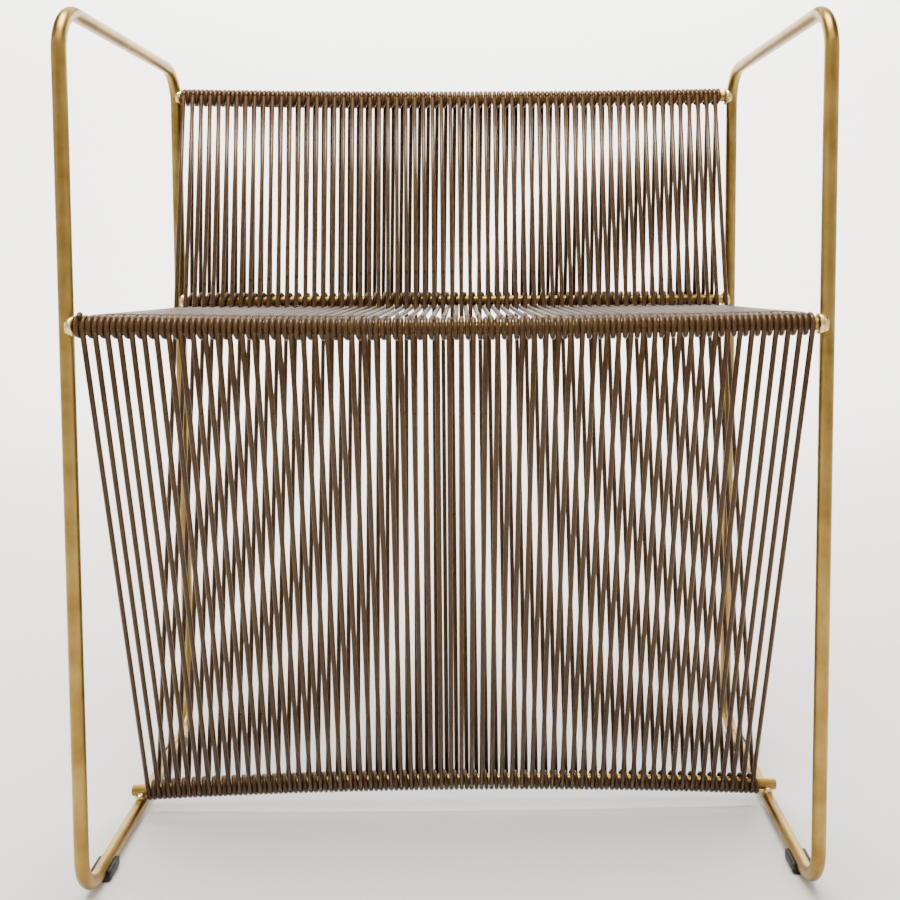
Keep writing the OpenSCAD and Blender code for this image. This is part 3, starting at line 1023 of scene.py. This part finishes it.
@dataclass
class CordWinding:
    """The one long cord, wound as a spiral over the four bars from the left end to the right end.

    In the YZ plane the cord meets a bar, goes once round it and on to where it leaves, always at the same
    radius. It keeps its place along X while two layers lie side by side, and moves on by half a pitch over the
    rest of the wrap. Between bars it is a straight strand on the two circles' common tangent. It ends on the
    seat bar.

    Attributes:
        axes: the bars' axes, in the order of Bar.
        radius: the cord's radius.
        first_x: place of the first wrap on each bar.
        last_x: place of the last wrap on each bar.
        turns: turns round the whole frame.
        sense: +1 where the cord turns from +Y towards +Z round a bar, otherwise -1.
        sides: corners in a section.
        wrap_steps: rings in a wrap.
        strand_steps: rings along a strand.
        wander: how far a wrap may stray along X from its even place.
        seed: picks how each wrap strays.
        groove_rise: how far the cut start lies outside the wraps' middle line.
        tail_arc: angles of the cut start's two ends round the front bar.
        tail_rings: rings along the cut start.
        tail_blunt: radius of its two end rings, as a share of the cord's.
        length: the cord's length without the cut start, worked out by build.
    """

    axes: tuple[BarAxis, ...]
    radius: float
    first_x: tuple[float, ...]
    last_x: tuple[float, ...]
    turns: int = 61
    sense: tuple[int, ...] = (1, 1, -1, -1)
    sides: int = 16
    wrap_steps: int = 46
    strand_steps: int = 7
    wander: float = 0.09 * MM
    seed: int = 61
    groove_rise: float = 2.6 * MM
    tail_arc: tuple[float, float] = (math.radians(112), math.radians(136))
    tail_rings: int = 12
    tail_blunt: float = 0.82
    length: float = field(default=0.0, init=False)

    def __post_init__(self) -> None:
        """Works out where the cord meets and leaves each bar, in every turn."""
        first, last = np.array(self.first_x), np.array(self.last_x)
        pitch = (last - first) / (self.turns - 0.5)
        even = first + np.arange(self.turns)[:, None] * pitch
        rng = np.random.default_rng(self.seed)
        stray = rng.uniform(-1.0, 1.0, (2,) + even.shape) * self.wander
        self.x_in = even + stray[0]
        self.x_out = even + pitch / 2 + stray[1]
        self.meet = np.zeros(even.shape)
        self.leave = np.zeros(even.shape)
        for bar in Bar:
            after, rows, rows_after = self.next_of(bar)
            leave, meet = self.touching(bar, after, self.x_out[rows, bar], self.x_in[rows_after, after])
            self.leave[rows, bar] = leave
            self.meet[rows_after, after] = meet
        self.meet[0, Bar.FRONT] = self.meet[1, Bar.FRONT]
        self.leave[-1, Bar.SEAT] = self.leave[-2, Bar.SEAT]

    @staticmethod
    def next_of(bar: Bar) -> tuple[Bar, slice, slice]:
        """The bar that the cord reaches next, and the turns in which it leaves one and meets the other.

        Args:
            bar: the bar that it leaves.

        Returns:
            The next bar, the rows that leave and the rows that are met. A turn is counted from the front bar,
            and no strand leaves the seat bar in the last turn.
        """
        if bar == Bar.SEAT:
            return Bar.FRONT, slice(None, -1), slice(1, None)
        return Bar(bar + 1), slice(None), slice(None)

    def wrap_radius(self, bar: Bar) -> float:
        """Radius of the cord's axis round a bar."""
        return self.axes[bar].radius + self.radius

    def touching(self, bar: Bar, after: Bar, x_from: Array, x_to: Array) -> tuple[Array, Array]:
        """Angles where the strands from one bar to the next leave the first and meet the second.

        The common tangent's normal makes an angle acos((s2 - s1) r / d) with the line between the bars, and
        the strand touches a bar on the normal's side where its sense is -1 and on the other side where it is +1.

        Args:
            bar: the bar that the strands leave.
            after: the bar that they reach.
            x_from: their places on the first bar.
            x_to: their places on the second.

        Returns:
            Leaving angles and meeting angles, in radians from +Y towards +Z.
        """
        gap = self.axes[after].at(x_to) - self.axes[bar].at(x_from)
        distance = np.hypot(gap[:, 0], gap[:, 1])
        cross = (self.sense[after] - self.sense[bar]) * self.wrap_radius(bar) / distance
        normal = np.arctan2(gap[:, 1], gap[:, 0]) + np.arccos(cross)
        leave, meet = (normal + (math.pi if self.sense[end] > 0 else 0.0) for end in (bar, after))
        return leave, meet

    def on_bar(self, bar: Bar, x: Array, angle: Array) -> Array:
        """Places of the cord's axis round a bar, at given x and angle."""
        centre = self.axes[bar].at(x.ravel()).reshape(x.shape + (2,))
        r = self.wrap_radius(bar)
        return np.stack([x, centre[..., 0] + r * np.cos(angle), centre[..., 1] + r * np.sin(angle)], axis=-1)

    def wrap_path(self, bar: Bar) -> tuple[Array, Array]:
        """Middle lines of the wraps round a bar, one for each turn, and their outward directions."""
        sense = self.sense[bar]
        bend = np.mod(sense * (self.leave[:, bar] - self.meet[:, bar]), TAU)
        share = np.linspace(0.0, 1.0, self.wrap_steps)
        swept_angle = (TAU + bend)[:, None] * share
        angle = self.meet[:, bar][:, None] + sense * swept_angle
        moved = smoothstep((swept_angle - bend[:, None]) / (TAU - bend[:, None]))
        x = self.x_in[:, bar][:, None] + (self.x_out - self.x_in)[:, bar][:, None] * moved
        outward = np.stack([np.zeros_like(angle), np.cos(angle), np.sin(angle)], axis=-1)
        return self.on_bar(bar, x, angle), outward

    def strand_path(self, bar: Bar) -> tuple[Array, Array]:
        """Middle lines of the strands that leave a bar for the next, and their outward directions."""
        after, rows, rows_after = self.next_of(bar)
        start = self.on_bar(bar, self.x_out[rows, bar], self.leave[rows, bar])
        stop = self.on_bar(after, self.x_in[rows_after, after], self.meet[rows_after, after])
        share = np.linspace(0.0, 1.0, self.strand_steps)[:, None]
        path = start[:, None] + (stop - start)[:, None] * share
        angle = self.leave[rows, bar]
        outward = np.stack([np.zeros_like(angle), np.cos(angle), np.sin(angle)], axis=-1)[:, None]
        return path, np.broadcast_to(outward, path.shape)

    @staticmethod
    def run_length(path: Array) -> Array:
        """Length along each middle line, as (tubes, rings)."""
        step = np.linalg.norm(np.diff(path, axis=1), axis=-1)
        return np.concatenate([np.zeros((len(path), 1)), np.cumsum(step, axis=1)], axis=1)

    def build(self, cord: Material, melted: Material) -> None:
        """Makes the strands and wraps as one piece for each CAD node.

        Args:
            cord: the cord's finish.
            melted: finish of a cut end.
        """
        reached = np.zeros(self.turns)
        for bar in Bar:
            stretches = {f"{bar.node}_wraps": self.wrap_path(bar), STRANDS_AFTER[bar]: self.strand_path(bar)}
            for node, (path, outward) in stretches.items():
                along = self.run_length(path)
                surface = swept(path, outward, self.radius, self.sides, along + reached[: len(path), None])
                reached[: len(path)] += along[:, -1]
                add_piece(node, surface, [cord], (node,))
        self.length = float(reached.sum())
        self.build_tail(cord, melted)

    def build_tail(self, cord: Material, melted: Material) -> None:
        """Makes the cord's cut start, which lies in the groove over the first two wraps of the front bar.

        Args:
            cord: the cord's finish.
            melted: finish of the cut end.
        """
        low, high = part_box("cord_tail")
        x = (low.x + high.x) / 2
        centre = self.axes[Bar.FRONT].at(np.array([x]))[0]
        groove_r = self.wrap_radius(Bar.FRONT) + self.groove_rise
        angle = np.linspace(*self.tail_arc, self.tail_rings)[None]
        y, z = centre[0] + groove_r * np.cos(angle), centre[1] + groove_r * np.sin(angle)
        path = np.stack([np.full_like(angle, x), y, z], -1)
        outward = np.stack([np.zeros_like(angle), np.cos(angle), np.sin(angle)], axis=-1)
        blunt = np.ones(self.tail_rings)
        blunt[[0, -1]] = self.tail_blunt
        radius, along = self.radius * blunt[None], self.run_length(path)
        surface = swept(path, outward, radius, self.sides, along, end_material=1)
        add_piece("cord_tail", surface, [cord, melted], ("cord_tail",))


# ---- the whole rack
@dataclass
class MagazineRack:
    """The whole rack, built from the frame's nodes."""

    def build(self) -> None:
        """Builds every piece: rods, welds, feet, cord."""
        brass = SatinBrass().build()
        weld = WeldMetal().build()
        plastic = FootPlastic().build()
        loops = {side: LoopSize.of_node(f"{side}_side_loop") for side in ("left", "right")}
        for side, size in loops.items():
            SideLoop(size).build(f"{side}_side_loop", brass)
        axes = tuple(BarAxis.of_node(bar.node, bows_up=bar == Bar.LOW) for bar in Bar)
        for bar, axis in zip(Bar, axes):
            CrossBar(axis).build(bar.node, brass)
        for bar, axis in zip(Bar, axes):
            for number, (side, size) in enumerate(loops.items()):
                name = f"{bar.node}_weld_{side}"
                seed = 10 * bar + 3 * number + 1
                if bar == Bar.LOW:
                    CrossingWeld(axis, size, seed).build(name, weld)
                else:
                    ButtWeld(axis, size, seed).build(name, weld)
        for end in ("front", "rear"):
            for side, size in loops.items():
                FootClip(f"{end}_{side}_foot", size).build(plastic)
        low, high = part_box("rear_strands")
        cord_radius = (high.y - low.y) / 2
        boxes = [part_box(f"{bar.node}_wraps") for bar in Bar]
        first_x = tuple(box[0].x + cord_radius for box in boxes)
        last_x = tuple(box[1].x - cord_radius for box in boxes)
        winding = CordWinding(axes, cord_radius, first_x, last_x)
        winding.build(BrownCord().build(), MeltedEnd().build())
        log.info("cord length %.2f m", winding.length)


# ---- studio
@dataclass(frozen=True)
class AreaLight:
    """A soft rectangular light.

    Attributes:
        name: the light's name.
        place: its position.
        watts: its power.
        size: its width and height.
        colour: its colour.
        aim: the point that it faces.
    """

    name: str
    place: Triple
    watts: float
    size: tuple[float, float]
    colour: Triple
    aim: Triple = (0.0, 0.0, 0.25)

    def build(self) -> None:
        """Adds the light to the scene."""
        light = bpy.data.lights.new(self.name, "AREA")
        light.shape = "RECTANGLE"
        light.size, light.size_y = self.size
        light.energy = self.watts
        light.color = self.colour
        lamp = bpy.data.objects.new(self.name, light)
        lamp.location = self.place
        lamp.rotation_euler = (Vector(self.aim) - Vector(self.place)).to_track_quat("-Z", "Y").to_euler()
        bpy.context.scene.collection.objects.link(lamp)


@dataclass(frozen=True)
class FrontView:
    """The camera: close in front of the rack, a little above the front bar and looking slightly down.

    Attributes:
        place: its position.
        pitch: how far it looks down, in radians.
        yaw: how far it looks to the right.
        roll: how far it is turned about its line of sight.
        lens: focal length in millimetres.
        sensor: width of its sensor in millimetres.
        shift: how far the frame is moved across and up, in parts of its width.
        near: distance below which it sees nothing.
    """

    place: Triple = (0.0141, -0.6494, 0.3686)
    pitch: float = 0.0597
    yaw: float = 0.0128
    roll: float = 0.0035
    lens: float = 40.46
    sensor: float = 36.0
    shift: tuple[float, float] = (-0.0417, -0.16)
    near: float = 0.01

    def build(self) -> None:
        """Adds the camera to the scene."""
        camera = bpy.data.cameras.new("camera")
        camera.sensor_width = self.sensor
        camera.lens = self.lens
        camera.shift_x, camera.shift_y = self.shift
        camera.dof.use_dof = False
        camera.clip_start = self.near
        eye = bpy.data.objects.new("camera", camera)
        eye.location = self.place
        eye.rotation_euler = Euler((math.pi / 2 - self.pitch, self.roll, -self.yaw), "XYZ")
        bpy.context.scene.collection.objects.link(eye)
        bpy.context.scene.camera = eye


LIGHTS = (
    AreaLight("high_key", (-0.05, -0.25, 1.7), 60.0, (1.0, 0.7), (1.0, 0.95, 0.86)),
    AreaLight("front_strip", (0.0, -1.0, 1.35), 7.0, (1.8, 0.25), (1.0, 0.94, 0.84)),
    AreaLight("left_fill", (-1.5, -0.9, 0.9), 2.5, (0.4, 1.2), (1.0, 0.95, 0.88)),
    AreaLight("right_fill", (1.6, -0.7, 0.8), 2.0, (0.4, 1.2), (1.0, 0.97, 0.92)),
    AreaLight("wall_light", (0.0, 1.5, 2.2), 330.0, (3.0, 0.8), (1.0, 0.99, 0.97), (0.0, 2.9, 0.7)),
)


@dataclass
class Studio:
    """A pale floor with an upturned rim, soft lights and the camera.

    Attributes:
        flat_rings: radii of the rings on the flat floor.
        floor_radius: radius of the flat floor.
        rim_radius: radius of the curve between floor and wall.
        rim_steps: rings on that curve.
        wall_height: height of the wall above that curve.
        columns: corners in a ring.
        surround: colour of the light that comes from all round.
        surround_strength: strength of that light.
    """

    flat_rings: Triple = (0.02, 0.5, 1.2)
    floor_radius: float = 2.0
    rim_radius: float = 0.9
    rim_steps: int = 17
    wall_height: float = 1.2
    columns: int = 96
    surround: Triple = (1.0, 0.985, 0.96)
    surround_strength: float = 0.15

    def build_floor(self) -> None:
        """Makes the floor, its curved rim and its wall as one surface of revolution."""
        quarter = np.linspace(0.0, math.pi / 2, self.rim_steps)
        rim_out = self.floor_radius + self.rim_radius * np.sin(quarter)
        rim_up = self.rim_radius * (1 - np.cos(quarter))
        out = np.concatenate([self.flat_rings, rim_out, [self.floor_radius + self.rim_radius]])
        up = np.concatenate([np.zeros(len(self.flat_rings)), rim_up, [self.rim_radius + self.wall_height]])
        angle = np.arange(self.columns) * TAU / self.columns
        x, y = out[:, None] * np.cos(angle), out[:, None] * np.sin(angle)
        grid = np.stack([x, y, np.broadcast_to(up[:, None], x.shape)], -1)
        number = np.arange(x.size).reshape(x.shape)
        quads = band_quads(number[:-1], number[1:])[:, ::-1]
        faces = [tuple(q) for q in quads.tolist()] + [tuple(number[0].tolist())]
        mesh = bpy.data.meshes.new("floor")
        mesh.from_pydata(grid.reshape(-1, 3).tolist(), [], faces)
        mesh.shade_smooth()
        mesh.materials.append(PaleFloor().build())
        floor = bpy.data.objects.new("floor", mesh)
        bpy.context.scene.collection.objects.link(floor)

    def build_surround(self) -> None:
        """Adds the even light from all round."""
        world = bpy.data.worlds.new("surround")
        bpy.context.scene.world = world
        world.use_nodes = True
        background = world.node_tree.nodes["Background"]
        background.inputs["Color"].default_value = (*self.surround, 1.0)
        background.inputs["Strength"].default_value = self.surround_strength

    def build(self) -> None:
        """Builds the camera, the floor and the lights."""
        FrontView().build()
        self.build_floor()
        for light in LIGHTS:
            light.build()
        self.build_surround()


def main() -> None:
    """Builds the studio and the rack."""
    logging.basicConfig(level=logging.INFO, format="%(name)s: %(message)s")
    Studio().build()
    MagazineRack().build()


if __name__ == "__main__":
    main()
